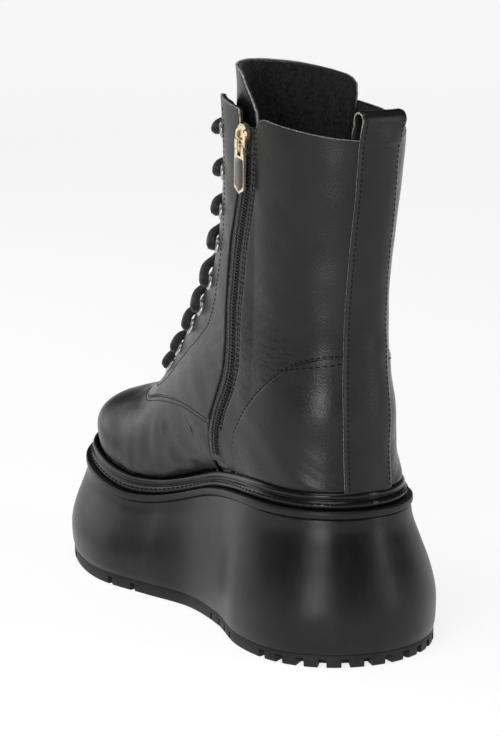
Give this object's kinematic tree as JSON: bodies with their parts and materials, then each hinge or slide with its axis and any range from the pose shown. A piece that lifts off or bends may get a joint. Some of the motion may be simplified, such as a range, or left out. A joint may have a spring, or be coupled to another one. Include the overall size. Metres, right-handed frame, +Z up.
{
  "type": "platform boot",
  "caption": "Lace-up leather ankle boot for the right foot on a thick rubber platform, with an inside zip, welt, padded tongue and back pull loop.",
  "frame": {"origin": "middle of the boot's bounding box on the floor, under the outsole", "axes": "+X to the toe, +Y to the inner (medial) side of the foot, where the zip is, +Z up"},
  "size_m": [0.2715, 0.1156, 0.2808],
  "materials": {
    "leather": "smooth semi-matte black leather, fine grain and creases",
    "lining": "black napped lining",
    "platform_rubber": "satin moulded rubber",
    "outsole_rubber": "matte moulded rubber",
    "welt_rubber": "glossy moulded rubber",
    "zip_tape": "woven black tape with a moulded coil",
    "gold_metal": "pale gold plating",
    "eyelet_metal": "nickel plating",
    "lace_cord": "round woven cord"
  },
  "bodies": {
    "root": {"outsole": "outsole_rubber", "platform": "platform_rubber", "midsole": "platform_rubber", "welt": "welt_rubber", "insole": "lining", "upper": "leather", "tongue": "leather", "pull_loop": "leather", "zip_band": "zip_tape", "zip_slider": "gold_metal", "eyelet_inner_1": "eyelet_metal", "eyelet_outer_1": "eyelet_metal", "eyelet_inner_2": "eyelet_metal", "eyelet_outer_2": "eyelet_metal", "eyelet_inner_3": "eyelet_metal", "eyelet_outer_3": "eyelet_metal", "eyelet_inner_4": "eyelet_metal", "eyelet_outer_4": "eyelet_metal", "eyelet_inner_5": "eyelet_metal", "eyelet_outer_5": "eyelet_metal", "eyelet_inner_6": "eyelet_metal", "eyelet_outer_6": "eyelet_metal", "eyelet_inner_7": "eyelet_metal", "eyelet_outer_7": "eyelet_metal", "eyelet_inner_8": "eyelet_metal", "eyelet_outer_8": "eyelet_metal", "eyelet_inner_9": "eyelet_metal", "eyelet_outer_9": "eyelet_metal", "lace": "lace_cord"},
    "pull_tab": {"zip_pull": "gold_metal"}
  },
  "joints": [
    {"name": "pull_tab_hinge", "type": "hinge", "parent": "root", "child": "pull_tab", "pos_m": [-0.07046, 0.04337, 0.23816], "axis": [0.9905, 0.0087, 0.1374], "range_deg": [0, 165]}
  ]
}
